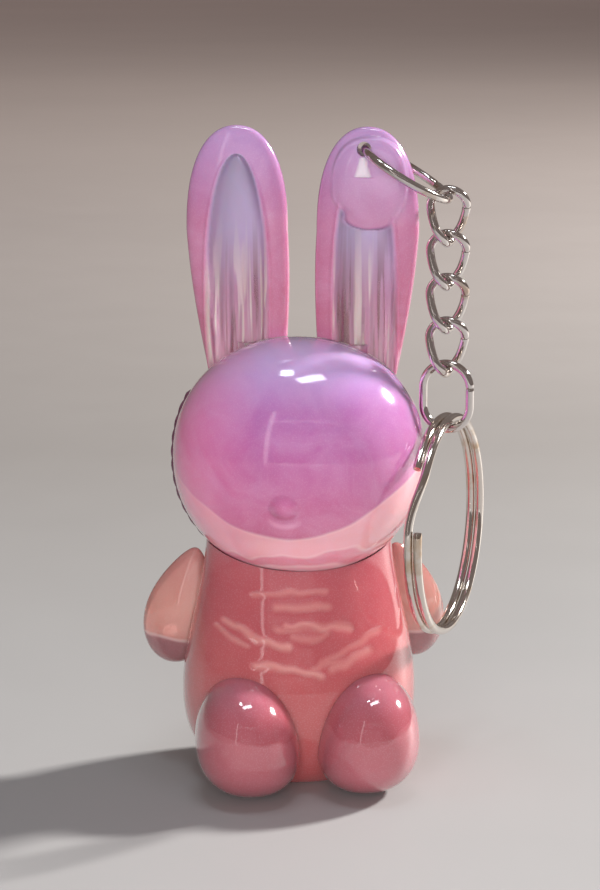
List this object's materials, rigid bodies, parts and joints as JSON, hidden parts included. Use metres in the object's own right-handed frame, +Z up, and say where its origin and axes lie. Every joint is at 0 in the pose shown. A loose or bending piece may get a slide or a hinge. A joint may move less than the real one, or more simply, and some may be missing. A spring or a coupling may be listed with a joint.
{
  "type": "rabbit key charm",
  "caption": "Seated glossy translucent rabbit figure with a turning head, and a curb chain and split ring hung from a bore in one tall ear.",
  "frame": {"origin": "on the flat seat, under the neck's axis", "axes": "+Z up the neck's axis, -Y the way the figure's body faces, +X to the side of the ear that holds the chain"},
  "size_m": [0.04, 0.0287, 0.0726],
  "materials": {
    "lilac_plastic": "translucent pearl, polished",
    "magenta_plastic": "translucent pearl, polished",
    "coral_plastic": "translucent, polished, faintly rippled",
    "rose_plastic": "translucent, polished",
    "clear_rose_plastic": "clear tinted, polished",
    "bead_trim": "dark tinted beads, polished",
    "pin_plastic": "plain moulded",
    "chrome_wire": "bright plated wire",
    "split_ring_steel": "bright plated, faint rolling lines"
  },
  "bodies": {
    "torso": {"torso_front_shell": "coral_plastic", "torso_back_shell": "coral_plastic", "neck_pin": "pin_plastic", "arm_left": "clear_rose_plastic", "arm_right": "clear_rose_plastic", "foot_left": "rose_plastic", "foot_right": "rose_plastic"},
    "head": {"head_front_shell": "magenta_plastic", "head_back_shell": "magenta_plastic", "head_seam_band": "bead_trim", "ear_left": "lilac_plastic", "ear_right": "lilac_plastic"},
    "hanger": {"hanger_ring": "chrome_wire"},
    "link_1": {"chain_link_1": "chrome_wire"},
    "link_2": {"chain_link_2": "chrome_wire"},
    "link_3": {"chain_link_3": "chrome_wire"},
    "link_4": {"chain_link_4": "chrome_wire"},
    "end_ring": {"end_jump_ring": "chrome_wire"},
    "key_ring": {"split_ring": "split_ring_steel"}
  },
  "joints": [
    {"name": "head_swivel", "type": "hinge", "parent": "torso", "child": "head", "pos_m": [0, 0, 0.0245], "axis": [0, 0, 1], "range_deg": [-75, 0]},
    {"name": "hanger_swing", "type": "hinge", "parent": "head", "child": "hanger", "pos_m": [0.00743, 0.00067, 0.0703], "axis": [-0.2419, -0.9703, 0], "range_deg": [0, 95]},
    {"name": "link_1_swing", "type": "hinge", "parent": "hanger", "child": "link_1", "pos_m": [0.01633, -0.00155, 0.06479], "axis": [0.2419, 0.9703, 0], "range_deg": [-60, 0]},
    {"name": "link_2_swing", "type": "hinge", "parent": "link_1", "child": "link_2", "pos_m": [0.01633, -0.00155, 0.05994], "axis": [-0.4384, -0.8988, 0], "range_deg": [0, 40]},
    {"name": "link_3_swing", "type": "hinge", "parent": "link_2", "child": "link_3", "pos_m": [0.01633, -0.00155, 0.05509], "axis": [0.4384, 0.8988, 0], "range_deg": [-40, 0]},
    {"name": "link_4_swing", "type": "hinge", "parent": "link_3", "child": "link_4", "pos_m": [0.01633, -0.00155, 0.05024], "axis": [-0.4384, -0.8988, 0], "range_deg": [0, 40]},
    {"name": "end_ring_swing", "type": "hinge", "parent": "link_4", "child": "end_ring", "pos_m": [0.01633, -0.00155, 0.04539], "axis": [0.4384, 0.8988, 0], "range_deg": [-40, 0]},
    {"name": "key_ring_swing", "type": "hinge", "parent": "end_ring", "child": "key_ring", "pos_m": [0.01633, -0.00155, 0.03909], "axis": [0.8988, -0.4384, 0], "range_deg": [-60, 60]}
  ]
}
